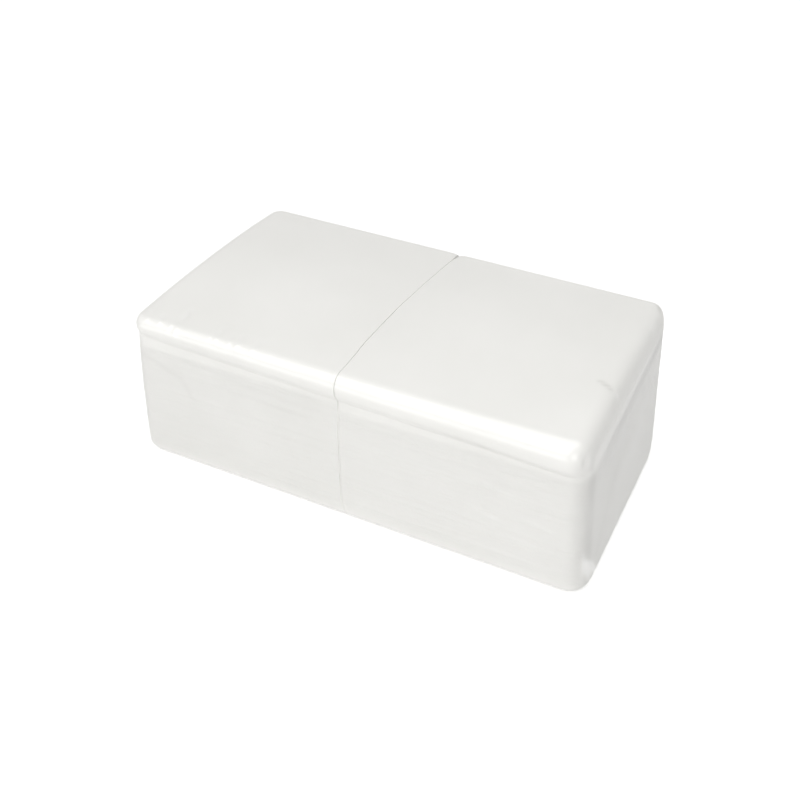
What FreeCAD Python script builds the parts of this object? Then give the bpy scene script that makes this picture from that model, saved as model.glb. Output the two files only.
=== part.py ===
# Clear film pack holding two stacks of folded paper napkins, set side by side.
# Frame: origin under the middle of the pack on its resting face, +X along the pack, +Z up.
# The long side with the overhanging roll along its top edge faces -Y, called the front here.
import FreeCAD, Part
import math
import os
import Sketcher
from FreeCAD import Vector

doc = FreeCAD.newDocument("napkin_pack")
sheet = doc.addObject("Spreadsheet::Sheet", "sizes")
VALUES = [
    ("pack_length", 240.0),
    ("half_depth", 65.5),
    ("front_tuck", 5.2),
    ("back_tuck", 2.9),
    ("pack_height", 88.0),
    ("dome", 2.4),
    ("roll_radius", 7.3),
    ("roll_growth", 1.6),
    ("back_roll_radius", 4.0),
    ("lip", 2.7),
    ("lip_growth", 1.1),
    ("crease_drop", 6.2),
    ("crease_fall", 1.6),
    ("face_bulge", 0.9),
    ("foot_radius", 5.2),
    ("end_radius", 10.5),
    ("end_foot_rise", 3.6),
    ("end_lean_left", 7.5),
    ("end_lean_right", 7.0),
    ("film", 0.2),
    ("play", 0.3),
    ("film_dip", 0.8),
    ("dip_reach", 1.7),
    ("pucker", 0.6),
    ("pucker_pitch", 10.0),
    ("pucker_start", -108.0),
    ("pucker_stop", -58.0),
    ("stack_gap", 1.0),
    ("gap_round", 1.8),
    ("pillow_drop", 2.5),
    ("leaf_group", 3.5),
    ("stagger", 0.55),
    ("flap_sheet", 0.3),
    ("flap_overlap", 12.0),
    ("flap_slope", 0.95),
    ("seam_width", 60.0),
    ("seam_end_margin", 16.0),
]
for number, (word, value) in enumerate(VALUES):
    line = number + 1
    sheet.set("A%d" % line, word)
    sheet.set("B%d" % line, "%g" % value)
    sheet.setAlias("B%d" % line, word)
doc.recompute()


def size(word):
    return float(sheet.get(word))


LENGTH = size("pack_length")
HALF = size("half_depth")
FRONT_FOOT = HALF - size("front_tuck")
BACK_FOOT = HALF - size("back_tuck")
DOME = size("dome")
BACK_ROLL = size("back_roll_radius")
BULGE = size("face_bulge")
FOOT = size("foot_radius")
END_R = size("end_radius")
FILM = size("film")
PLAY = size("play")
GAP = size("stack_gap")
GAP_R = size("gap_round")
FLAP = size("flap_sheet")
# The flat ends carry two flap sheets each. Under the stacks the wrap's own lapped seam is a second layer.
HEIGHT = size("pack_height")
END_X = LENGTH / 2.0 - 2.0 * FLAP
ROLL_STEPS = 5
FOOT_STEPS = 4
ROUND_STEPS = 5


def lean(x):
    """How far the end on this side of the pack leans in from its foot to its top."""
    return size("end_lean_right") if x > 0 else size("end_lean_left")


def roll_r(x):
    """Radius of the front roll, which grows towards +X."""
    return size("roll_radius") + size("roll_growth") * 2.0 * x / LENGTH


def lip(x):
    """How far the roll stands out over the crease under it. It grows towards +X with the roll."""
    return size("lip") + size("lip_growth") * 2.0 * x / LENGTH


def crease_z(x):
    """Height of the crease, so far under the widest point of the front roll. It falls towards +X."""
    return HEIGHT - DOME - roll_r(x) - size("crease_drop") - size("crease_fall") * 2.0 * x / LENGTH


def arc(cy, cz, r, low, high, steps):
    """Points of a circle's arc from angle low to high in degrees, 0 along +Y and 90 along +Z."""
    pts = []
    for i in range(steps + 1):
        a = math.radians(low + (high - low) * i / steps)
        pts.append((cy + r * math.cos(a), cz + r * math.sin(a)))
    return pts


def outline(x):
    """The skin's outline across X as (y, z) points, and for each the share it takes of the film's puckers.

    It runs from the foot up the front, over the top and down the back.
    """
    edge_z = HEIGHT - DOME
    rr = roll_r(x)
    cz = crease_z(x)
    zr = edge_z - rr
    crease_y = HALF - lip(x)
    pts = [(p, 0.0) for p in arc(-(FRONT_FOOT - FOOT), FOOT, FOOT, 270.0, 180.0, FOOT_STEPS)]
    for share in (0.25, 0.5, 0.75, 1.0):
        y = FRONT_FOOT + (crease_y - FRONT_FOOT) * share + BULGE * 4.0 * share * (1.0 - share)
        pts.append(((-y, FOOT + (cz - FOOT) * share), 0.0))
    pts.append(((-(HALF - lip(x) * 0.55), cz + 0.9), 0.3))
    pts.append(((-(HALF - lip(x) * 0.16), cz + 2.6), 0.8))
    rolled = arc(-(HALF - rr), zr, rr, 180.0, 90.0, ROLL_STEPS)
    for i, p in enumerate(rolled):
        pts.append((p, 1.0 - 0.5 * abs(i - 2.0) / 3.0))
    front_flat = HALF - rr
    back_flat = HALF - BACK_ROLL
    for share in (-0.78, -0.45, 0.0, 0.45, 0.78):
        flat = front_flat if share < 0.0 else back_flat
        pts.append(((flat * share, edge_z + DOME * (1.0 - share * share)), 0.25 if share < -0.5 else 0.0))
    back_roll = arc(back_flat, edge_z - BACK_ROLL, BACK_ROLL, 90.0, 0.0, ROLL_STEPS)
    pts.extend((p, 0.0) for p in back_roll)
    for share in (0.33, 0.67, 1.0):
        y = HALF + (BACK_FOOT - HALF) * share + BULGE * 4.0 * share * (1.0 - share)
        pts.append(((y, edge_z - BACK_ROLL + (FOOT - edge_z + BACK_ROLL) * share), 0.0))
    pts.extend((p, 0.0) for p in arc(BACK_FOOT - FOOT, FOOT, FOOT, 0.0, -90.0, FOOT_STEPS)[1:])
    return pts


def dip(x):
    """The film is drawn in a little where it bridges the gap between the stacks."""
    return size("film_dip") * math.exp(-(x / size("dip_reach")) ** 2)


def pucker(x):
    """How far the film stands off the front roll here, in puckers across the roll near its left end."""
    start = size("pucker_start")
    stop = size("pucker_stop")
    if not start < x < stop:
        return 0.0
    fade = math.sin(math.pi * (x - start) / (stop - start))
    wave = 0.5 - 0.5 * math.cos(2.0 * math.pi * (x - start) / size("pucker_pitch"))
    return size("pucker") * wave * min(1.0, 2.0 * fade)


def section(x, depth, shrink, is_film):
    """One closed section, moved in by depth along its normals.

    shrink draws in its sides and lowers its top, for a rounded end. The crease keeps its height, so the roll
    runs out to a point at its corner. The foot rises a little, and the end leans in with its height.
    """
    marked = outline(x)
    count = len(marked)
    pinch = dip(x) if is_film else 0.0
    ks = 1.0 - (shrink + pinch) / HALF
    cz = crease_z(x)
    k_top = 1.0 - (shrink + 0.3 * pinch) / (HEIGHT - cz)
    lift = size("end_foot_rise") * shrink / END_R
    tilt = math.copysign(lean(x), x) * (2.0 * abs(x) / LENGTH) ** 2
    points = []
    for i in range(count):
        (y, z), share = marked[i]
        y0, z0 = marked[i - 1][0]
        y1, z1 = marked[(i + 1) % count][0]
        run = math.hypot(y1 - y0, z1 - z0)
        move = depth
        if is_film:
            move -= pucker(x) * share
        y2 = y + move * (z1 - z0) / run
        z2 = max(z - move * (y1 - y0) / run, depth)
        if z2 > cz:
            z3 = cz + (z2 - cz) * k_top
        else:
            z3 = z2 + lift * (1.0 - z2 / cz)
        points.append(Vector(x - tilt * z3 / HEIGHT, y2 * ks, z3))
    return Part.makePolygon(points + points[:1])


def body_between(x_low, x_high, depth, round_low, round_high, is_film, stops):
    """A solid ruled through sections from x_low to x_high, with both ends rounded."""
    stations = []
    for i in range(ROUND_STEPS + 1):
        a = math.radians(90.0 * i / ROUND_STEPS)
        stations.append((x_low + round_low * (1.0 - math.cos(a)), round_low * (1.0 - math.sin(a))))
    for x in stops:
        if x_low + round_low + 0.8 < x < x_high - round_high - 0.8:
            stations.append((x, 0.0))
    for i in range(ROUND_STEPS, -1, -1):
        a = math.radians(90.0 * i / ROUND_STEPS)
        stations.append((x_high - round_high * (1.0 - math.cos(a)), round_high * (1.0 - math.sin(a))))
    return Part.makeLoft([section(x, depth, s, is_film) for x, s in stations], True, True)


def shape_object(word, shape):
    obj = doc.addObject("Part::Feature", word)
    obj.Shape = shape
    return obj


# The wrap: one tube of clear film with folded ends and a lapped seam along the underside.
film_stops = []
x = size("pucker_start")
while x <= size("pucker_stop") + 0.01:
    film_stops.append(x)
    x += size("pucker_pitch") / 2.0
reach = size("dip_reach")
film_stops.extend(reach * k for k in (-2.4, -1.3, -0.6, 0.0, 0.6, 1.3, 2.4))
film_stops.append(0.5 * (END_X - END_R))
outside = body_between(-END_X, END_X, 0.0, END_R, END_R, True, film_stops)
inside = body_between(-END_X + FILM, END_X - FILM, FILM, END_R, END_R, True, film_stops)


def lies_on(face, origin, normal):
    return all(abs((v.Point - origin).dot(normal)) < 1e-5 for v in face.Vertexes)


def dressed(faces, origin, normal, sheets, inward=False):
    """A skin's flat faces on one plane, replaced by one face with sheets standing on it, or let into it."""
    flat = [f for f in faces if lies_on(f, origin, normal)]
    rest = [f for f in faces if not lies_on(f, origin, normal)]
    met = {}
    for face in flat:
        for edge in face.Edges:
            centre = edge.CenterOfMass
            met.setdefault((round(centre.x, 3), round(centre.y, 3), round(centre.z, 3)), []).append(edge)
    border = [edges[0] for edges in met.values() if len(edges) == 1]
    whole = Part.Face(Part.Wire(Part.__sortEdges__(border)))
    if not sheets:
        return rest + [whole]
    block = whole.extrude(normal * -2.0)
    block = block.cut(sheets) if inward else block.multiFuse(sheets)
    reach = FLAP + 1e-5 if inward else 1e-5
    shown = [f for f in block.Faces if all((v.Point - origin).dot(normal) > -reach for v in f.Vertexes)]
    return rest + shown


def end_plane(side):
    tilt = lean(side) * (2.0 * END_X / LENGTH) ** 2
    normal = Vector(side, 0.0, tilt / HEIGHT)
    normal.normalize()
    return tilt, Vector(side * END_X, 0.0, 0.0), normal


def end_sheet(side, layers, outline_yz):
    """A folded sheet lying on the wrap's flat end, outside it by so many layers of film."""
    tilt, origin, normal = end_plane(side)
    pts = [Vector(side * (END_X - tilt * z / HEIGHT), y, z) for y, z in outline_yz]
    return Part.Face(Part.makePolygon(pts + pts[:1])).extrude(normal * (layers * FLAP))


foot_z = size("end_foot_rise")
head_z = crease_z(LENGTH / 2.0)
half_end = FRONT_FOOT * (1.0 - END_R / HALF) - 1.2
middle = 0.5 * (foot_z + head_z)
rise = middle - foot_z + 0.5 * size("flap_overlap")
narrow = half_end - rise * size("flap_slope")
low_sheet = [(-half_end, foot_z + 0.4), (half_end, foot_z + 0.4), (narrow, foot_z + rise), (-narrow, foot_z + rise)]
high_sheet = [(half_end, head_z), (-half_end, head_z), (-narrow, head_z - rise), (narrow, head_z - rise)]
skin = outside.Faces
for side in (-1.0, 1.0):
    tilt, origin, normal = end_plane(side)
    skin = dressed(skin, origin, normal, [end_sheet(side, 1, low_sheet), end_sheet(side, 2, high_sheet)])
skin = dressed(skin, Vector(0, 0, 0), Vector(0, 0, -1), [])
seam_length = LENGTH - 2.0 * size("seam_end_margin")
seam_width = size("seam_width")
seam = Part.makeBox(seam_length, seam_width, FLAP, Vector(-seam_length / 2.0, -seam_width / 2.0, FILM))
lining = dressed(inside.Faces, Vector(0, 0, FILM), Vector(0, 0, -1), [seam], inward=True)


def closed(faces):
    shell = Part.Shell(faces)
    shell.sewShape()
    solid = Part.Solid(shell)
    if solid.Volume < 0.0:
        solid.reverse()
    return solid.Shells[0]


hollow = closed(lining)
hollow.reverse()
wrap = shape_object("film_wrap", Part.makeSolid(Part.makeCompound([closed(skin), hollow])))


# The stacks: each a smooth pillow of top leaves over groups of leaves whose edges don't quite line up.
depth = FILM + PLAY


def pillow(word, side):
    outer = side * (END_X - depth)
    inner = side * GAP / 2.0
    if side < 0:
        solid = body_between(outer, inner, depth, END_R, GAP_R, False, [0.5 * outer])
        under = crease_z(0.0)
    else:
        solid = body_between(inner, outer, depth, GAP_R, END_R, False, [0.5 * outer])
        under = crease_z(LENGTH / 2.0)
    floor = under - size("pillow_drop")
    keep = Part.makeBox(LENGTH, 4.0 * HALF, HEIGHT, Vector(-LENGTH / 2.0, -2.0 * HALF, floor))
    return shape_object(word, solid.common(keep)), floor


def leaf_pad(body, word, z_low, height, side, shares, bare_foot):
    """One group of leaves: a pad from a rounded rectangle, its four edges held by sheet values."""
    sketch = body.newObject("Sketcher::SketchObject", word + "_outline")
    plane = [o for o in body.Origin.OriginFeatures if o.Role == "XY_Plane"][0]
    sketch.AttachmentSupport = [(plane, "")]
    sketch.MapMode = "FlatFace"
    sketch.setExpression("AttachmentOffset.Base.z", z_low)
    low = z_low
    step_in = "sizes.film - sizes.play - sizes.stagger"
    crease = "sizes.pack_height - sizes.dome - sizes.roll_radius - sizes.crease_drop"
    rise_share = "(max(%s; sizes.foot_radius) - sizes.foot_radius) / (%s - sizes.foot_radius)" % (low, crease)
    deepest = "sizes.lip + sizes.lip_growth" if side > 0 else "sizes.lip"
    front = "sizes.half_depth - sizes.front_tuck + (sizes.front_tuck - (%s)) * %s" % (deepest, rise_share)
    back = "sizes.half_depth - sizes.back_tuck"
    end = "sizes.pack_length / 2 - 2 * sizes.flap_sheet"
    lean_word = "sizes.end_lean_right" if side > 0 else "sizes.end_lean_left"
    top = "(%s + %s)" % (low, height)
    end = "%s - %s * %s / sizes.pack_height" % (end, lean_word, top)
    if bare_foot:
        inner_r = "(sizes.foot_radius - sizes.film - sizes.play)"
        reach_out = "sqrt(max(0; %s ^ 2 - (sizes.foot_radius - %s) ^ 2))" % (inner_r, low)
        foot_out = "- sizes.foot_radius + sizes.film + sizes.play + %s" % reach_out
        front = "sizes.half_depth - sizes.front_tuck %s" % foot_out
        back = "sizes.half_depth - sizes.back_tuck %s" % foot_out
        turned = "(1 - min(1; (%s - sizes.film) / sizes.end_foot_rise))" % low
        end = "%s - sizes.end_radius * (1 - sqrt(1 - %s ^ 2))" % (end, turned)
    edges = [
        ("front", "%s - %s * %.3f" % (front, step_in, shares[0])),
        ("back", "%s - %s * %.3f" % (back, step_in, shares[1])),
        ("outer", "%s - %s * %.3f" % (end, step_in, shares[2])),
        ("inner", "sizes.stack_gap / 2 + sizes.stagger * %.3f" % shares[3]),
    ]
    r_out = END_R
    r_gap = GAP_R
    x0, x1 = (10.0, 110.0) if side > 0 else (-110.0, -10.0)
    ra, rb = (r_gap, r_out) if side > 0 else (r_out, r_gap)
    y0, y1 = -50.0, 50.0
    quarter = math.pi / 2.0
    up = Vector(0, 0, 1)
    geo = [
        Part.LineSegment(Vector(x0 + ra, y0, 0), Vector(x1 - rb, y0, 0)),
        Part.ArcOfCircle(Part.Circle(Vector(x1 - rb, y0 + rb, 0), up, rb), 3 * quarter, 4 * quarter),
        Part.LineSegment(Vector(x1, y0 + rb, 0), Vector(x1, y1 - rb, 0)),
        Part.ArcOfCircle(Part.Circle(Vector(x1 - rb, y1 - rb, 0), up, rb), 0.0, quarter),
        Part.LineSegment(Vector(x1 - rb, y1, 0), Vector(x0 + ra, y1, 0)),
        Part.ArcOfCircle(Part.Circle(Vector(x0 + ra, y1 - ra, 0), up, ra), quarter, 2 * quarter),
        Part.LineSegment(Vector(x0, y1 - ra, 0), Vector(x0, y0 + ra, 0)),
        Part.ArcOfCircle(Part.Circle(Vector(x0 + ra, y0 + ra, 0), up, ra), 2 * quarter, 3 * quarter),
    ]
    sketch.addGeometry(geo, False)
    rules = []
    for a, b in ((0, 1), (2, 3), (4, 5), (6, 7)):
        rules.append(Sketcher.Constraint("Tangent", a, 2, b, 1))
    for a, b in ((1, 2), (3, 4), (5, 6), (7, 0)):
        rules.append(Sketcher.Constraint("Tangent", a, 2, b, 1))
    for a in (0, 4):
        rules.append(Sketcher.Constraint("Horizontal", a))
    for a in (2, 6):
        rules.append(Sketcher.Constraint("Vertical", a))
    sketch.addConstraint(rules)
    high, low_edge = ("outer", "inner") if side > 0 else ("inner", "outer")
    named = dict(edges)
    sign_high = 1.0 if side > 0 else -1.0
    facts = [
        ("front_edge", Sketcher.Constraint("DistanceY", 0, 1, -1, 1, 50.0), named["front"]),
        ("back_edge", Sketcher.Constraint("DistanceY", -1, 1, 4, 1, 50.0), named["back"]),
    ]
    if side > 0:
        facts.append(("outer_edge", Sketcher.Constraint("DistanceX", -1, 1, 2, 1, 110.0), named["outer"]))
        facts.append(("inner_edge", Sketcher.Constraint("DistanceX", -1, 1, 6, 1, 10.0), named["inner"]))
        radii = ((1, "end_radius"), (3, "end_radius"), (5, "gap_round"), (7, "gap_round"))
    else:
        facts.append(("outer_edge", Sketcher.Constraint("DistanceX", 6, 1, -1, 1, 110.0), named["outer"]))
        facts.append(("inner_edge", Sketcher.Constraint("DistanceX", 2, 1, -1, 1, 10.0), named["inner"]))
        radii = ((1, "gap_round"), (3, "gap_round"), (5, "end_radius"), (7, "end_radius"))
    for number, alias in radii:
        facts.append(("corner_%d" % number, Sketcher.Constraint("Radius", number, size(alias)), "sizes." + alias))
    for name, constraint, rule in facts:
        index = sketch.addConstraint(constraint)
        sketch.renameConstraint(index, name)
        sketch.setExpression("Constraints." + name, rule)
    pad = body.newObject("PartDesign::Pad", word)
    pad.Profile = sketch
    pad.Refine = False
    pad.setExpression("Length", height)
    body.Tip = pad
    return pad


def stack(word, side):
    base, floor = pillow(word + "_pillow", side)
    body = doc.addObject("PartDesign::Body", word + "_leaves")
    # heights of the groups as shares of leaf_group, each a little different
    marks = [0.0]
    seed = 1.7 if side < 0 else 2.3
    room = (floor - FLAP - FILM) / size("leaf_group")
    while marks[-1] < room - 1.3:
        marks.append(round(marks[-1] + 1.0 + 0.24 * math.sin(seed * len(marks)), 4))
    marks.append(round(room + 0.01, 4))
    start = "sizes.flap_sheet + sizes.film"
    for i in range(len(marks) - 1):
        shares = [0.5 + 0.5 * math.sin(seed * 1.31 * i + k * 2.1) for k in range(4)]
        shares = [s * (0.25 if i % 3 == 1 else 1.0) for s in shares]
        z_low = "(%s + sizes.leaf_group * %.4f)" % (start, marks[i])
        height = "(sizes.leaf_group * %.4f)" % (marks[i + 1] - marks[i])
        bare = marks[i] * size("leaf_group") + FILM + FLAP < FOOT
        leaf_pad(body, "%s_group_%d" % (word, i + 1), z_low, height, side, shares, bare)
    doc.recompute()
    whole = doc.addObject("Part::MultiFuse", word)
    whole.Shapes = [body, base]
    doc.recompute()
    return whole


left = stack("napkin_stack_left", -1.0)
right = stack("napkin_stack_right", 1.0)
doc.recompute()

os.makedirs("parts", exist_ok=True)
for obj in doc.Objects:
    bad = [word for word in obj.State if word in ("Invalid", "Error")]
    if bad:
        raise RuntimeError("%s: %s" % (obj.Name, bad))
for obj in (wrap, left, right):
    if obj.Shape.isNull() or not obj.Shape.isValid():
        raise RuntimeError("%s has no valid shape" % obj.Name)
    obj.Label = obj.Name
    obj.Shape.exportStep("parts/%s.step" % obj.Name)
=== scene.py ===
"""Looks of a clear-wrapped pack of paper napkins: two stacks of folded leaves inside a glossy clear film."""
import math

import bpy
import numpy as np
from mathutils import Matrix, Vector


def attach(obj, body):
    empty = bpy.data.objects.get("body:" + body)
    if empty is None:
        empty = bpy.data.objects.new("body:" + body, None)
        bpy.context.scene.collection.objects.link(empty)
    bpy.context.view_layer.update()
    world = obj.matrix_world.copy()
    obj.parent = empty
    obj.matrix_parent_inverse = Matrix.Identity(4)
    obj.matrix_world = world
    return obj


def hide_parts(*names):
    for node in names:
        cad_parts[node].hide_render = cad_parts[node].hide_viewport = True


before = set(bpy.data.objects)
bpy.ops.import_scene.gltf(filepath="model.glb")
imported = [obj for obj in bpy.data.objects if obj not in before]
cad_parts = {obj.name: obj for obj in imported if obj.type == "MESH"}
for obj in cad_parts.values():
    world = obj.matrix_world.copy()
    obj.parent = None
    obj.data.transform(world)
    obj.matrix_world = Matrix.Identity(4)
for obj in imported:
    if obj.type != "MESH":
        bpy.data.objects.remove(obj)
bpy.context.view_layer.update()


# Sizes in millimetres, the same as the solids'.
LENGTH = 240.0
HALF = 65.5
FRONT_TUCK = 5.2
BACK_TUCK = 2.9
FRONT_FOOT = HALF - FRONT_TUCK
BACK_FOOT = HALF - BACK_TUCK
HEIGHT = 88.0
DOME = 2.4
EDGE_Z = HEIGHT - DOME
ROLL = 7.3
ROLL_GROWTH = 1.6
BACK_ROLL = 4.0
LIP = 2.7
LIP_GROWTH = 1.1
CREASE_DROP = 6.2
CREASE_FALL = 1.6
BULGE = 0.9
FOOT = 5.2
END_R = 10.5
END_MARGIN = 0.6
END_X = LENGTH / 2 - END_MARGIN
FOOT_RISE = 3.6
LEAN_RIGHT = 7.0
LEAN_LEFT = -7.5
CLEAR = 0.5


def roll_r(x):
    return ROLL + ROLL_GROWTH * 2 * x / LENGTH


def lip(x):
    return LIP + LIP_GROWTH * 2 * x / LENGTH


def crease_z(x):
    return EDGE_Z - roll_r(x) - CREASE_DROP - CREASE_FALL * 2 * x / LENGTH


def smooth(a, b, x):
    """0 at a and 1 at b, with a soft start and stop; b may be the lower of the two."""
    t = np.clip((np.asarray(x, float) - a) / (b - a), 0.0, 1.0)
    return t * t * (3 - 2 * t)


def waves(x, y, seed, octaves=4):
    """Smooth repeatable unevenness of about unit size."""
    total = np.zeros(np.broadcast(x, y).shape)
    for k in range(octaves):
        f = 1.8 ** k
        a = seed * 1.3 + k * 2.4
        u = x * math.cos(a) + y * math.sin(a)
        v = y * math.cos(a) - x * math.sin(a)
        total = total + np.sin(u * f + 1.7 * np.sin(v * f * 0.7 + seed)) * np.cos(v * f * 0.8 + k) / 1.5 ** k
    return total / 1.8


def foot_arc(reach, z, depth):
    """The reach of the rounded foot edge at height z, on a surface that lies depth inside the skin."""
    inner = FOOT - depth
    drop = np.clip(FOOT - z, 0.0, inner)
    return reach - FOOT + np.sqrt(inner * inner - drop * drop)


def front_y(x, z, depth):
    """How far the front stands out at this place along the pack and this height of the section."""
    cz = crease_z(x)
    rr = roll_r(x)
    zr = EDGE_Z - rr
    bend = 2.2 + 1.2 * smooth(-90.0, 70.0, x)
    share = np.clip((z - FOOT) / (cz - FOOT), 0.0, 1.0)
    face = FRONT_FOOT + (HALF - lip(x) - FRONT_FOOT) * share + BULGE * 4 * share * (1 - share) - depth
    under = HALF - depth - lip(x) * (1 - np.clip((z - cz) / (zr - cz), 0.0, 1.0)) ** bend
    up = np.clip(z - zr, 0.0, rr - depth)
    rolled = HALF - rr + np.sqrt((rr - depth) ** 2 - up * up)
    above = np.where(z < cz, face, np.where(z < zr, under, rolled))
    return np.where(z < FOOT, foot_arc(FRONT_FOOT, z, depth), above)


def back_y(z, depth):
    """How far the back stands out at this height of the section."""
    zb = EDGE_Z - BACK_ROLL
    share = np.clip((zb - z) / (zb - FOOT), 0.0, 1.0)
    face = HALF + (BACK_FOOT - HALF) * share + BULGE * 4 * share * (1 - share) - depth
    up = np.clip(z - zb, 0.0, BACK_ROLL - depth)
    rolled = HALF - BACK_ROLL + np.sqrt((BACK_ROLL - depth) ** 2 - up * up)
    return np.where(z < FOOT, foot_arc(BACK_FOOT, z, depth), np.where(z < zb, face, rolled))


def top_drop(shrink):
    """How far the top sinks over a rounded end: it stays flat for longer than the plan's arc."""
    return shrink * (shrink / END_R) ** 0.4


def placed(x, y, z, shrink, pinch):
    """A point of the section at x, drawn in by shrink at a rounded end and by pinch at the gap, and leaned."""
    cz = crease_z(x)
    top = cz + (z - cz) * (1 - (top_drop(shrink) + 0.3 * pinch) / (HEIGHT - cz))
    low = z + FOOT_RISE * shrink / END_R * (1 - z / cz)
    z2 = np.where(z > cz, top, low)
    lean = np.where(x > 0, LEAN_RIGHT, LEAN_LEFT) * (2 * np.abs(x) / LENGTH) ** 2
    return np.stack([x - lean * z2 / HEIGHT, y * (1 - (shrink + pinch) / HALF), z2], -1)


def section_height(x, shrink, level):
    """The section height that lies at this level once it is placed."""
    cz = crease_z(x)
    top = cz + (level - cz) / (1 - top_drop(shrink) / (HEIGHT - cz))
    rise = FOOT_RISE * shrink / END_R
    low = np.maximum((level - rise) / (1 - rise / cz), 0.0)
    return np.where(level > cz, top, low)


STATION_GAP = 0.2


def stations(x_low, x_high, r_low, r_high, between, steps):
    """Places along the pack as (x, shrink, normal along, normal across), with a rounded end at each side."""
    rows = []
    for i in range(steps + 1):
        a = math.pi / 2 * i / steps
        c = math.cos(a)
        s = math.sin(a)
        rows.append((x_low + r_low * (1 - c), r_low * (1 - s), -c, s))
    for x in between:
        if x_low + r_low + STATION_GAP < x < x_high - r_high - STATION_GAP:
            rows.append((x, 0.0, 0.0, 1.0))
    for i in range(steps, -1, -1):
        a = math.pi / 2 * i / steps
        c = math.cos(a)
        s = math.sin(a)
        rows.append((x_high - r_high * (1 - c), r_high * (1 - s), c, s))
    return np.array(rows)


def loops(st, front_z, back_z, across, depth, pinch):
    """The placed sections: front rows upward, over the top, back rows downward, and under the foot."""
    x = st[:, 0:1]
    shrink = st[:, 1:2]
    pinch = pinch[:, None]
    half_front = HALF - roll_r(x)
    half_back = HALF - BACK_ROLL
    shares = np.linspace(-1, 1, across + 1)[None, 1:-1]
    top_y = np.where(shares < 0, half_front * shares, half_back * shares)
    top_z = EDGE_Z - depth + DOME * (1 - shares ** 2) + 0 * x
    foot_shares = np.linspace(1, -1, across + 1)[None, 1:-1]
    front_reach = foot_arc(FRONT_FOOT, front_z[:, :1], depth)
    back_reach = foot_arc(BACK_FOOT, back_z[:, :1], depth)
    foot_y = np.where(foot_shares < 0, front_reach * foot_shares, back_reach * foot_shares)
    low = np.minimum(front_z[:, :1], back_z[:, :1])
    y = np.hstack([-front_y(x, front_z, depth), top_y, back_y(back_z, depth)[:, ::-1], foot_y])
    z = np.hstack([front_z, top_z, back_z[:, ::-1], low + 0 * foot_y])
    return placed(x + 0 * y, y, z, shrink, pinch)


def skin(grid, rows, across):
    """Vertices and faces of a closed body: the grid of sections, and a grid filling each end."""
    count, ring = grid.shape[:2]
    verts = [grid.reshape(-1, 3)]
    number = np.arange(count * ring).reshape(count, ring)
    a = number[:-1]
    b = number[1:]
    faces = [np.stack([a, b, np.roll(b, -1, 1), np.roll(a, -1, 1)], -1).reshape(-1, 4)]
    base = count * ring
    ends = []
    for end, flip in ((0, False), (count - 1, True)):
        front = number[end, :rows]
        top = number[end, rows:rows + across - 1]
        back = number[end, rows + across - 1:2 * rows + across - 1][::-1]
        foot = number[end, 2 * rows + across - 1:][::-1]
        t = np.linspace(0, 1, across + 1)[1:-1][None, :, None]
        p = grid[end][front - end * ring][1:-1, None] * (1 - t) + grid[end][back - end * ring][1:-1, None] * t
        inner = base + np.arange((rows - 2) * (across - 1)).reshape(rows - 2, across - 1)
        verts.append(p.reshape(-1, 3))
        ends.append((base, base + inner.size, p.shape[:2]))
        base += inner.size
        whole = np.vstack([foot[None], inner, top[None]])
        whole = np.hstack([front[:, None], whole, back[:, None]])
        q = np.stack([whole[:-1, :-1], whole[1:, :-1], whole[1:, 1:], whole[:-1, 1:]], -1).reshape(-1, 4)
        faces.append(q[:, ::-1] if flip else q)
    return np.vstack(verts), np.vstack(faces), ends


def normals_of(verts, faces):
    """The area-weighted normal at each vertex."""
    a = verts[faces[:, 2]] - verts[faces[:, 0]]
    b = verts[faces[:, 3]] - verts[faces[:, 1]]
    n = np.cross(a, b)
    total = np.zeros_like(verts)
    for k in range(4):
        np.add.at(total, faces[:, k], n)
    return total / np.maximum(np.linalg.norm(total, axis=1, keepdims=True), 1e-9)


def bowed(verts):
    """The line between the stacks wanders a little over the top and down the front."""
    x, y, z = verts.T
    over = np.interp(y, [-62.0, -50.0, -35.0, 0.0, 30.0, 62.0], [-1.9, -1.5, -1.9, -1.0, 0.5, 2.0])
    down = np.interp(z, [0.0, 4.0, 10.0, 55.0, 70.0, 77.0, 84.0], [0.6, -0.4, -1.8, -1.7, -1.1, -1.0, -1.9])
    front = smooth(50.0, 60.0, -y)
    high = smooth(58.0, 84.0, z)
    shift = over * high * (1 - front) + (over * high + down * (1 - high)) * front
    out = verts.copy()
    out[:, 0] += shift * np.exp(-(x / 42.0) ** 2)
    return out


def mesh_from(name, verts, faces):
    """A smooth-shaded object from vertices in millimetres."""
    mesh = bpy.data.meshes.new(name)
    mesh.from_pydata((np.asarray(verts) * 0.001).tolist(), [], [tuple(int(i) for i in q) for q in faces])
    mesh.update()
    mesh.polygons.foreach_set("use_smooth", [True] * len(mesh.polygons))
    obj = bpy.data.objects.new(name, mesh)
    bpy.context.scene.collection.objects.link(obj)
    return obj


# The paper: each stack's sides are cut into single leaves, in groups that don't quite line up.
LEAF = 0.43
GROOVE_AT = 0.55
TOP_LEAF_LEFT = 71.4
TOP_LEAF_RIGHT = 68.4
HEAD_ROWS = 22
PAPER_ACROSS = 40
PAPER_ARC_STEPS = 7
HALF_GAP = 0.12
GAP_ROUND = 0.45
NEAR_GAP = [0.85, 1.3, 2.3]


def leaf_groups(count, rng):
    """How far each leaf's group stands in, and each leaf by itself, both from -1 to 1."""
    group = np.zeros(count)
    k = 0
    while k < count:
        size = int(rng.integers(3, 10))
        group[k:k + size] = rng.uniform(-1.0, 1.0)
        k += size
    return group, rng.uniform(-1.0, 1.0, count)


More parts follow.
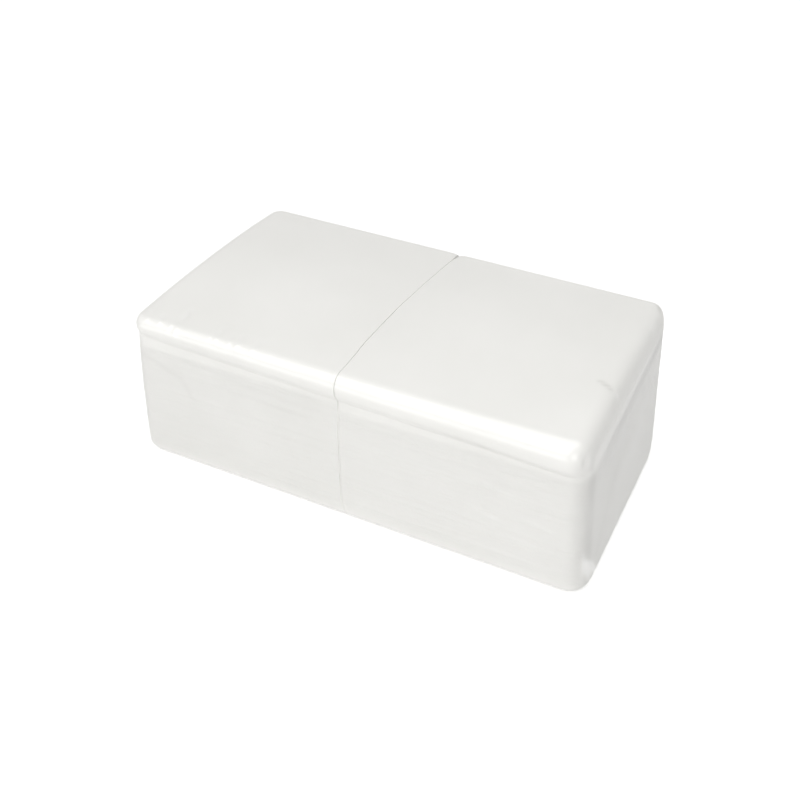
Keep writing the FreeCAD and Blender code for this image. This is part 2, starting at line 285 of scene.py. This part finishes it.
def stack_stations(side):
    if side > 0:
        between = NEAR_GAP + list(np.linspace(4.0, 107.0, 44))
        return stations(HALF_GAP, END_X - CLEAR, GAP_ROUND, END_R - CLEAR, between, PAPER_ARC_STEPS)
    between = list(np.linspace(-107.0, -4.0, 44)) + [-x for x in NEAR_GAP[::-1]]
    return stations(-END_X + CLEAR, -HALF_GAP, END_R - CLEAR, GAP_ROUND, between, PAPER_ARC_STEPS)


def parted(z):
    """1 at the heights where the stacks' front inner edges stand apart, and 0 where they touch."""
    apart = smooth(66.0, 69.0, z) + smooth(40.0, 41.5, z) * smooth(48.0, 46.0, z)
    apart += smooth(20.0, 21.0, z) * smooth(28.0, 27.0, z) + smooth(5.0, 3.0, z)
    return np.clip(apart, 0.0, 1.0)


def make_stack(name, side, seed):
    rng = np.random.default_rng(seed)
    top_leaf = TOP_LEAF_RIGHT if side > 0 else TOP_LEAF_LEFT
    count = int((top_leaf - CLEAR) / LEAF)
    group, single = leaf_groups(count, rng)
    leaf = np.repeat(np.arange(count), 2)
    groove = np.tile([0.0, 1.0], count)
    level = CLEAR + (leaf + GROOVE_AT * groove) * LEAF
    st = stack_stations(side)
    x = st[:, 0:1]
    shrink = st[:, 1:2]
    zs = section_height(x, shrink, level[None, :])
    zs = np.maximum(zs, CLEAR)
    climb = np.sin(np.linspace(0, 1, HEAD_ROWS + 1)[1:] * math.pi / 2)[None, :]
    head = zs[:, -1:] + (EDGE_Z - CLEAR - zs[:, -1:]) * climb
    rows_z = np.hstack([zs, head])
    rows = rows_z.shape[1]
    across = PAPER_ACROSS
    # at the back the same leaves reach up to the tighter roll
    back_zs = CLEAR + (zs - CLEAR) * (EDGE_Z - BACK_ROLL - 1.0 - CLEAR) / (zs[:, -1:] - CLEAR)
    back_head = back_zs[:, -1:] + (EDGE_Z - CLEAR - back_zs[:, -1:]) * climb
    grid = loops(st, rows_z, np.hstack([back_zs, back_head]), across, CLEAR, np.zeros(len(st)))
    verts, faces, ends = skin(grid, rows, across)
    # which leaf each vertex belongs to, and which way it faces in plan
    ring = grid.shape[1]
    row_of = np.full(ring, -1)
    row_of[:rows] = np.arange(rows)
    row_of[rows + across - 1:2 * rows + across - 1] = np.arange(rows)[::-1]
    row = np.tile(row_of, len(st))
    facing = np.zeros(ring)
    facing[:rows] = -1.0
    facing[rows + across - 1:2 * rows + across - 1] = 1.0
    nx = np.repeat(st[:, 2], ring) * np.tile(np.abs(facing), len(st))
    ny = np.repeat(st[:, 3], ring) * np.tile(facing, len(st))
    for start, stop, shape in ends:
        r = np.repeat(np.arange(1, shape[0] + 1), shape[1])
        row = np.concatenate([row, r])
        way = -1.0 if start == ends[0][0] else 1.0
        nx = np.concatenate([nx, np.full(stop - start, way)])
        ny = np.concatenate([ny, np.zeros(stop - start)])
    leaf_of = np.concatenate([leaf, np.full(HEAD_ROWS, count - 1)])
    groove_of = np.concatenate([groove, np.full(HEAD_ROWS, 0.5)])
    fade = np.clip((count - leaf) / 7, 0.3, 1.0) * np.clip(0.15 + leaf / 20, 0.0, 1.0)
    fade_of = np.concatenate([fade, 0.3 * np.linspace(1.0, 0.0, HEAD_ROWS) ** 2])
    rest_of = np.concatenate([np.ones(len(level)), 1 - smooth(0.3, 1.0, np.linspace(0.0, 1.0, HEAD_ROWS))])
    on_side = row >= 0
    i = leaf_of[row]
    px, py, pz = verts.T
    # how far the leaf edges stand in: a common part, and steps from group, leaf, waves and grooves
    wave = waves(px * 0.028 + i * 0.05, py * 0.03 - i * 0.03, seed + 0.0)
    ragged = waves(px * 0.11 + i * 1.7, py * 0.12 + i * 0.9, seed + 3.0)
    broken = 0.6 + 0.4 * waves(px * 0.05 + 3.0, pz * 0.06, seed + 7.0)
    steps = 0.15 * group[i] * broken + 0.10 * single[i] + 0.13 * wave + 0.07 * ragged
    steps = steps + 0.17 * (1 - groove_of[row])
    push = np.clip(0.34 * rest_of[row] + steps * fade_of[row], 0.0, 1.1) * on_side
    at_gap = np.clip(-nx * side, 0.0, 1.0)
    near = waves(py * 0.02, pz * 0.16, seed + 9.0)
    meet = -0.02 - (0.06 + 0.03 * np.clip(near * 1.6, -1.0, 0.9)) * (1 - smooth(64.0, 72.0, pz))
    plain_push = push
    push = push * (1 - at_gap) + meet * at_gap * on_side
    verts = verts.copy()
    verts[:, 0] -= nx * push
    verts[:, 1] -= ny * push
    # on the front, the inner edges of the stacks touch, and part only over short lengths
    front_edge = np.zeros(len(verts))
    front_edge[:len(st) * ring] = np.tile(facing < 0, len(st)) * (np.abs(px[:len(st) * ring]) < 3.0)
    drawn = np.zeros(len(verts))
    drawn[:len(st) * ring] = np.repeat(st[:, 1], ring)
    fill = 0.85 * drawn * (1 - parted(pz)) - plain_push * (1 - np.abs(ny))
    verts[:, 1] -= fill * front_edge
    # a softly uneven top, and a small notch between the stacks at the back edge
    soft = waves(px * 0.04, py * 0.045, seed + 5.0)
    verts[:, 2] -= np.where(pz > 84.0, 0.10 * (1 + soft), 0.0) * smooth(84.0, 86.0, pz)
    notch = smooth(53.0, 64.0, py) * smooth(80.0, 85.5, pz) * np.exp(-(px / 2.6) ** 2)
    verts[:, 0] += side * 0.9 * notch
    verts[:, 2] -= 0.5 * notch
    return mesh_from(name, bowed(verts), faces)


# The film: one skin round both stacks. Its puckers, folds and creases are (from, to, height, width), in
# millimetres. One with a height below 0 isn't raised: it only greys the film along its line, painted shade of
# a crease.
FOLDS_AND_SHADE_LINES = [
    ((-84.8, -64.6, 82.5), (-86.6, -49.2, 86.6), 0.80, 1.4),
    ((-89.0, -64.0, 83.0), (-88.0, -58.0, 86.0), 0.35, 1.2),
    ((-94.8, -63.4, 84.0), (-96.2, -56.3, 86.0), 0.45, 1.1),
    ((-63.8, -63.0, 84.0), (-64.6, -53.4, 86.3), 0.50, 1.2),
    ((-67.5, -63.0, 84.0), (-67.0, -57.4, 86.3), 0.30, 1.0),
    ((-56.5, -63.0, 84.0), (-58.0, -56.4, 86.3), 0.35, 1.0),
    ((-52.2, -63.1, 84.0), (-53.2, -54.2, 86.1), 0.50, 1.2),
    ((-44.2, -63.6, 83.5), (-43.1, -54.9, 86.1), 0.55, 1.3),
    ((-101.8, -63.0, 84.2), (-102.8, -57.2, 85.9), 0.35, 1.0),
    ((101.9, -17.0, 88.0), (110.6, -21.2, 85.9), -0.70, 0.9),
    ((109.6, -19.9, 86.5), (111.4, -21.5, 84.6), 0.75, 1.1),
    ((107.7, 40.6, 86.8), (111.9, 35.5, 83.2), 0.35, 1.3),
    ((108.8, 44.0, 86.2), (112.4, 40.0, 82.6), 0.15, 1.3),
    ((106.8, 61.8, 85.8), (110.2, 55.2, 84.9), -0.45, 1.1),
    ((109.3, -60.8, 83.5), (111.4, -62.8, 75.3), -0.2, 0.7),
    ((111.4, -59.0, 82.5), (113.0, -61.0, 75.0), 0.45, 1.0),
    ((116.0, -57.8, 24.3), (119.0, -46.4, 7.7), 0.6, 1.5),
    ((116.3, -57.0, 20.3), (117.9, -52.6, 8.6), 0.6, 1.5),
    ((115.8, -58.2, 26.3), (116.9, -57.6, 7.6), 0.4, 1.2),
    ((110.5, -62.9, 72.0), (113.8, -59.6, 38.0), 0.10, 1.2),
    ((113.6, -59.4, 70.0), (117.3, -54.4, 33.4), 0.14, 1.6),
    ((7.1, -63.6, 52.0), (48.7, -62.8, 44.5), 0.10, 0.9),
    ((58.5, -62.8, 54.5), (90.7, -62.6, 48.7), 0.13, 0.9),
    ((64.3, -62.5, 36.9), (80.5, -62.2, 33.2), 0.22, 0.9),
    ((66.9, -62.8, 61.4), (105.3, -62.4, 55.8), 0.11, 0.9),
    ((84.5, -62.4, 40.5), (109.0, -61.8, 35.8), 0.12, 0.9),
    ((52.0, -61.2, 14.3), (106.4, -61.4, 15.5), 0.10, 1.0),
    ((78.0, -61.6, 26.3), (109.4, -61.4, 24.5), 0.10, 1.0),
    ((34.0, -64.4, 76.6), (106.6, -63.6, 71.3), -0.14, 1.5),
    ((44.0, -63.4, 68.6), (104.6, -63.0, 64.3), -0.08, 0.9),
    ((-65.5, -63.8, 65.3), (-6.4, -63.3, 62.8), -0.08, 0.8),
    ((-57.8, -63.7, 59.3), (-12.9, -63.3, 57.1), -0.08, 0.8),
    ((-40.5, -63.8, 70.3), (-8.4, -63.3, 68.6), -0.07, 0.8),
    ((-112.2, -62.4, 67.2), (-85.6, -63.7, 57.3), -0.10, 1.3),
    ((-85.6, -63.7, 57.3), (-79.4, -63.4, 45.5), -0.08, 1.3),
    ((-62.3, -62.4, 30.9), (-22.1, -62.2, 29.2), 0.08, 1.0),
]


def fold_height(verts):
    """The folds' height at each vertex, fading out toward both ends of each fold; below 0 it weights a painted
    shade line.
    """
    total = np.zeros(len(verts))
    for a, b, height, width in FOLDS_AND_SHADE_LINES:
        a = np.array(a, float)
        b = np.array(b, float)
        along = b - a
        t = ((verts - a) @ along) / (along @ along)
        near = np.clip(t, 0.0, 1.0)
        d = np.linalg.norm(verts - a - near[:, None] * along, axis=1)
        taper = np.clip(1.2 - np.abs(near - 0.5) * 1.6, 0.0, 1.0)
        total += height * np.exp(-(d / width) ** 2) * taper
    return total


FILM_ACROSS = 72
FILM_ARC_STEPS = 12
FOOT_ROWS = 6
FACE_ROWS = 40
UNDER_ROWS = 12
ROLL_ROWS = 17
DENSE = [(-111.0, -46.0, 0.95), (-45.0, -6.0, 2.1), (-5.6, 5.7, 0.55), (7.0, 92.0, 2.3), (93.0, 109.0, 1.1)]


def film_rows(x):
    """The heights of the film's rows up the front and up the back, closer together round the roll."""
    cz = crease_z(x)
    rr = roll_r(x)
    q = math.pi / 2
    foot = FOOT * (1 - np.cos(np.linspace(0, 1, FOOT_ROWS + 1)[:-1] * q))[None, :] + 0 * x
    face = FOOT + (cz - FOOT) * np.linspace(0, 1, FACE_ROWS + 1)[None, :-1]
    under = cz + (EDGE_Z - rr - cz) * (np.linspace(0, 1, UNDER_ROWS + 1)[None, :-1]) ** 1.4
    rolled = EDGE_Z - rr + rr * np.sin(np.linspace(0, 1, ROLL_ROWS) * q)[None, :]
    zb = EDGE_Z - BACK_ROLL
    back_face = FOOT + (zb - FOOT) * np.linspace(0, 1, FACE_ROWS + UNDER_ROWS + 1)[None, :-1] + 0 * x
    back_roll = zb + BACK_ROLL * np.sin(np.linspace(0, 1, ROLL_ROWS) * q)[None, :] + 0 * x
    return np.hstack([foot, face, under, rolled]), np.hstack([foot, back_face, back_roll])


def film_relief(verts, normals):
    """How far the film stands out: slack all round, ripples on the sides, pleats and flaps at the ends."""
    px, py, pz = verts.T
    nx = normals[:, 0]
    height = 0.10 * (1 + waves(px * 0.035, py * 0.05 + pz * 0.05, 8.0))
    sides = 1 - smooth(0.2, 0.7, np.abs(normals[:, 2]))
    height += 0.10 * (1 + waves(px * 0.10, pz * 0.13 + py * 0.10, 4.0)) * sides
    right = smooth(0.2, 1.0, nx)
    pleats = waves(py * 0.13 + pz * 0.05, pz * 0.06, 5.0, 3)
    height += (0.12 + 0.11 * pleats) * right
    left = smooth(0.2, 1.0, -nx)
    height += (0.12 + 0.11 * waves(py * 0.12, pz * 0.05, 6.0, 3)) * left
    # the ends are closed by a lower and an upper flap over the tucked sides
    flat = smooth(0.9, 0.99, np.abs(nx))
    upper = smooth(0.0, 2.4, 61.0 - np.abs(py) - 0.95 * (84.0 - pz)) * smooth(0.0, 1.6, pz - 37.0)
    lower = smooth(0.0, 2.4, 60.0 - np.abs(py) - 0.95 * (pz - 2.0)) * smooth(0.0, 1.6, 49.0 - pz)
    height += (0.15 * upper + 0.17 * lower) * flat
    return height


def make_film(name):
    dense = [x for low, high, step in DENSE for x in np.arange(low, high, step)]
    st = stations(-END_X, END_X, END_R, END_R, dense, FILM_ARC_STEPS)
    front_z, back_z = film_rows(st[:, 0:1])
    rows = front_z.shape[1]
    pinch = 0.08 * np.exp(-(st[:, 0] / 1.5) ** 2)
    grid = loops(st, front_z, back_z, FILM_ACROSS, 0.0, pinch)
    verts, faces, _ = skin(grid, rows, FILM_ACROSS)
    normals = normals_of(verts, faces)
    fold = fold_height(verts)
    height = film_relief(verts, normals) + np.maximum(fold, 0.0)
    height *= smooth(0.0, 4.0, verts[:, 2])
    verts = verts + normals * np.clip(height, -0.1, 2.4)[:, None]
    obj = mesh_from(name, bowed(verts), faces)
    # the folds' heights go to the film material: below 0 they weight painted shade lines, above 0 a painted
    # highlight
    fold_shade_and_glint = obj.data.attributes.new("fold_shade_and_glint", "FLOAT", "POINT")
    fold_shade_and_glint.data.foreach_set("value", np.clip(fold, -1.0, 1.0).astype(np.float32))
    return obj


def new_material(name):
    """A material with an empty node tree."""
    mat = bpy.data.materials.new(name)
    mat.use_nodes = True
    nt = mat.node_tree
    nt.nodes.clear()
    return mat, nt


def maths(nt, operation, *values, clamp=False):
    """The output of a math node whose values are numbers or sockets."""
    node = nt.nodes.new("ShaderNodeMath")
    node.operation = operation
    node.use_clamp = clamp
    for k, value in enumerate(values):
        if isinstance(value, (int, float)):
            node.inputs[k].default_value = value
        else:
            nt.links.new(value, node.inputs[k])
    return node.outputs[0]


def noise_bump(nt, coord, shader, scale, detail, strength, distance):
    """Fine unevenness of a shader's surface."""
    noise = nt.nodes.new("ShaderNodeTexNoise")
    noise.inputs["Scale"].default_value = scale
    noise.inputs["Detail"].default_value = detail
    nt.links.new(coord.outputs["Object"], noise.inputs["Vector"])
    bump = nt.nodes.new("ShaderNodeBump")
    bump.inputs["Strength"].default_value = strength
    bump.inputs["Distance"].default_value = distance
    nt.links.new(noise.outputs["Fac"], bump.inputs["Height"])
    nt.links.new(bump.outputs["Normal"], shader.inputs["Normal"])


def shown(nt):
    """1 for the rays that meet the plain white background: camera, glossy and transmission rays."""
    path = nt.nodes.new("ShaderNodeLightPath")
    direct = maths(nt, "MAXIMUM", path.outputs["Is Camera Ray"], path.outputs["Is Glossy Ray"])
    return maths(nt, "MAXIMUM", direct, path.outputs["Is Transmission Ray"])


def paper_material():
    mat, nt = new_material("napkin_paper")
    out = nt.nodes.new("ShaderNodeOutputMaterial")
    p = nt.nodes.new("ShaderNodeBsdfPrincipled")
    p.inputs["Roughness"].default_value = 0.92
    p.inputs["Specular IOR Level"].default_value = 0.25
    coord = nt.nodes.new("ShaderNodeTexCoord")
    broad = nt.nodes.new("ShaderNodeTexNoise")
    broad.inputs["Scale"].default_value = 16.0
    broad.inputs["Detail"].default_value = 5.0
    nt.links.new(coord.outputs["Object"], broad.inputs["Vector"])
    ramp = nt.nodes.new("ShaderNodeValToRGB")
    ramp.color_ramp.elements[0].position = 0.3
    ramp.color_ramp.elements[0].color = (0.872, 0.868, 0.842, 1)
    ramp.color_ramp.elements[1].position = 0.7
    ramp.color_ramp.elements[1].color = (0.912, 0.907, 0.884, 1)
    nt.links.new(broad.outputs["Fac"], ramp.inputs["Fac"])
    nt.links.new(ramp.outputs["Color"], p.inputs["Base Color"])
    noise_bump(nt, coord, p, 900.0, 6.0, 0.25, 0.00015)
    nt.links.new(p.outputs["BSDF"], out.inputs["Surface"])
    return mat


FILM_TINT = (0.992, 0.991, 0.988, 1)
# grey clear colour put into the film along the fold lines below 0: painted shade
FOLD_SHADE_TINT = (0.55, 0.55, 0.54, 1)


def film_material():
    mat, nt = new_material("clear_film")
    out = nt.nodes.new("ShaderNodeOutputMaterial")
    clear = nt.nodes.new("ShaderNodeBsdfTransparent")
    clear.inputs["Color"].default_value = FILM_TINT
    gloss = nt.nodes.new("ShaderNodeBsdfPrincipled")
    gloss.inputs["Base Color"].default_value = (0.97, 0.97, 0.96, 1)
    gloss.inputs["Metallic"].default_value = 1.0
    gloss.inputs["Roughness"].default_value = 0.27
    # the film mirrors more at a flat angle, the same from outside and from inside
    facing = nt.nodes.new("ShaderNodeLayerWeight")
    facing.inputs["Blend"].default_value = 0.5
    steep = maths(nt, "POWER", facing.outputs["Facing"], 5.0)
    haze = maths(nt, "MULTIPLY_ADD", steep, 0.4, 0.08, clamp=True)
    # along raised folds the film is mixed further toward its mirror, a painted highlight; along the fold lines
    # below 0 its clear colour turns grey, painted shade of the creases
    mark = nt.nodes.new("ShaderNodeAttribute")
    mark.attribute_name = "fold_shade_and_glint"
    # painted highlight: raised folds lean further toward the mirror
    ridge_highlight_mix = maths(nt, "MULTIPLY_ADD", mark.outputs["Fac"], 0.55, haze, clamp=True)
    # painted shade: fold lines below 0 grey the clear colour
    painted_fold_shade = maths(nt, "MULTIPLY", mark.outputs["Fac"], -0.55, clamp=True)
    tint = nt.nodes.new("ShaderNodeMix")
    tint.data_type = "RGBA"
    tint.inputs[6].default_value = FILM_TINT
    tint.inputs[7].default_value = FOLD_SHADE_TINT
    nt.links.new(painted_fold_shade, tint.inputs[0])
    nt.links.new(tint.outputs[2], clear.inputs["Color"])
    coord = nt.nodes.new("ShaderNodeTexCoord")
    noise_bump(nt, coord, gloss, 60.0, 4.0, 0.12, 0.0006)
    mix = nt.nodes.new("ShaderNodeMixShader")
    nt.links.new(ridge_highlight_mix, mix.inputs[0])
    nt.links.new(clear.outputs[0], mix.inputs[1])
    nt.links.new(gloss.outputs[0], mix.inputs[2])
    nt.links.new(mix.outputs[0], out.inputs["Surface"])
    return mat


paper = paper_material()
film = film_material()

left = make_stack("paper_left", -1.0, 11)
right = make_stack("paper_right", 1.0, 23)
for obj, node in ((left, "napkin_stack_left"), (right, "napkin_stack_right")):
    obj.data.materials.append(paper)
    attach(obj, "root")
    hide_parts(node)

wrap = make_film("film_skin")
wrap.data.materials.append(film)
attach(wrap, "root")
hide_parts("film_wrap")

# Floor and world: plain white to the camera and in reflections, with only the pack's soft shadow.
FAR = 4
mesh = bpy.data.meshes.new("floor")
mesh.from_pydata([(-FAR, -FAR, 0), (FAR, -FAR, 0), (FAR, FAR, 0), (-FAR, FAR, 0)], [], [(0, 1, 2, 3)])
floor = bpy.data.objects.new("floor", mesh)
bpy.context.scene.collection.objects.link(floor)
fmat, nt = new_material("floor_white")
fout = nt.nodes.new("ShaderNodeOutputMaterial")
fdiff = nt.nodes.new("ShaderNodeBsdfDiffuse")
fdiff.inputs["Color"].default_value = (0.82, 0.82, 0.82, 1)
femit = nt.nodes.new("ShaderNodeEmission")
femit.inputs["Color"].default_value = (1, 1, 1, 1)
femit.inputs["Strength"].default_value = 0.60
lit = nt.nodes.new("ShaderNodeAddShader")
nt.links.new(fdiff.outputs[0], lit.inputs[0])
nt.links.new(femit.outputs[0], lit.inputs[1])
fmix = nt.nodes.new("ShaderNodeMixShader")
nt.links.new(shown(nt), fmix.inputs[0])
nt.links.new(fdiff.outputs[0], fmix.inputs[1])
nt.links.new(lit.outputs[0], fmix.inputs[2])
nt.links.new(fmix.outputs[0], fout.inputs["Surface"])
floor.data.materials.append(fmat)

world = bpy.data.worlds.new("studio")
bpy.context.scene.world = world
world.use_nodes = True
wt = world.node_tree
wt.nodes.clear()
wout = wt.nodes.new("ShaderNodeOutputWorld")
soft = wt.nodes.new("ShaderNodeBackground")
soft.inputs["Color"].default_value = (1, 1, 1, 1)
soft.inputs["Strength"].default_value = 0.395
white = wt.nodes.new("ShaderNodeBackground")
white.inputs["Color"].default_value = (1, 1, 1, 1)
white.inputs["Strength"].default_value = 1.0
wmix = wt.nodes.new("ShaderNodeMixShader")
wt.links.new(shown(wt), wmix.inputs[0])
wt.links.new(soft.outputs[0], wmix.inputs[1])
wt.links.new(white.outputs[0], wmix.inputs[2])
wt.links.new(wmix.outputs[0], wout.inputs["Surface"])


def area(name, where, aim, wide, tall, power):
    """A rectangular lamp in metres and watts."""
    lamp = bpy.data.lights.new(name, "AREA")
    lamp.shape = "RECTANGLE"
    lamp.size = wide
    lamp.size_y = tall
    lamp.energy = power
    obj = bpy.data.objects.new(name, lamp)
    obj.location = where
    obj.rotation_euler = (Vector(aim) - Vector(where)).to_track_quat("-Z", "Y").to_euler()
    bpy.context.scene.collection.objects.link(obj)


area("key", (-0.40, -1.00, 1.40), (0, 0, 0.05), 1.6, 1.5, 9.5)
area("over", (0.10, -0.07, 0.62), (0.05, -0.04, 0.05), 0.6, 0.45, 1.15)
area("low", (-0.70, -1.90, 0.30), (0, 0, 0.05), 2.0, 0.8, 9.0)
area("corner", (1.05, -1.20, 0.60), (0, 0, 0.05), 0.8, 0.8, 3.8)

# Camera, with its focal length and shifts in pixels of the square picture
PICTURE = 800
FOCAL = 1076.967
SHIFT_X = -1.216
SHIFT_Y = -19.959
SENSOR = 36.0
DISTANCE = 0.535477
TARGET = Vector((0, 0, 0.044))
az = math.radians(25.272)
el = math.radians(35.396)
roll = math.radians(1.262)
back = Vector((math.sin(az) * math.cos(el), -math.cos(az) * math.cos(el), math.sin(el)))
side = Vector((math.cos(az), math.sin(az), 0.0))
up = back.cross(side)
side2 = side * math.cos(roll) + up * math.sin(roll)
up2 = up * math.cos(roll) - side * math.sin(roll)
cam = bpy.data.cameras.new("camera")
cam.sensor_width = SENSOR
cam.lens = FOCAL / PICTURE * SENSOR
cam.shift_x = SHIFT_X / PICTURE
cam.shift_y = SHIFT_Y / PICTURE
cam.clip_start = 0.01
camera = bpy.data.objects.new("camera", cam)
place = TARGET + back * DISTANCE
camera.matrix_world = Matrix(((side2.x, up2.x, back.x, place.x), (side2.y, up2.y, back.y, place.y),
                              (side2.z, up2.z, back.z, place.z), (0, 0, 0, 1)))
bpy.context.scene.collection.objects.link(camera)
bpy.context.scene.camera = camera
bpy.context.scene.view_settings.view_transform = "Standard"
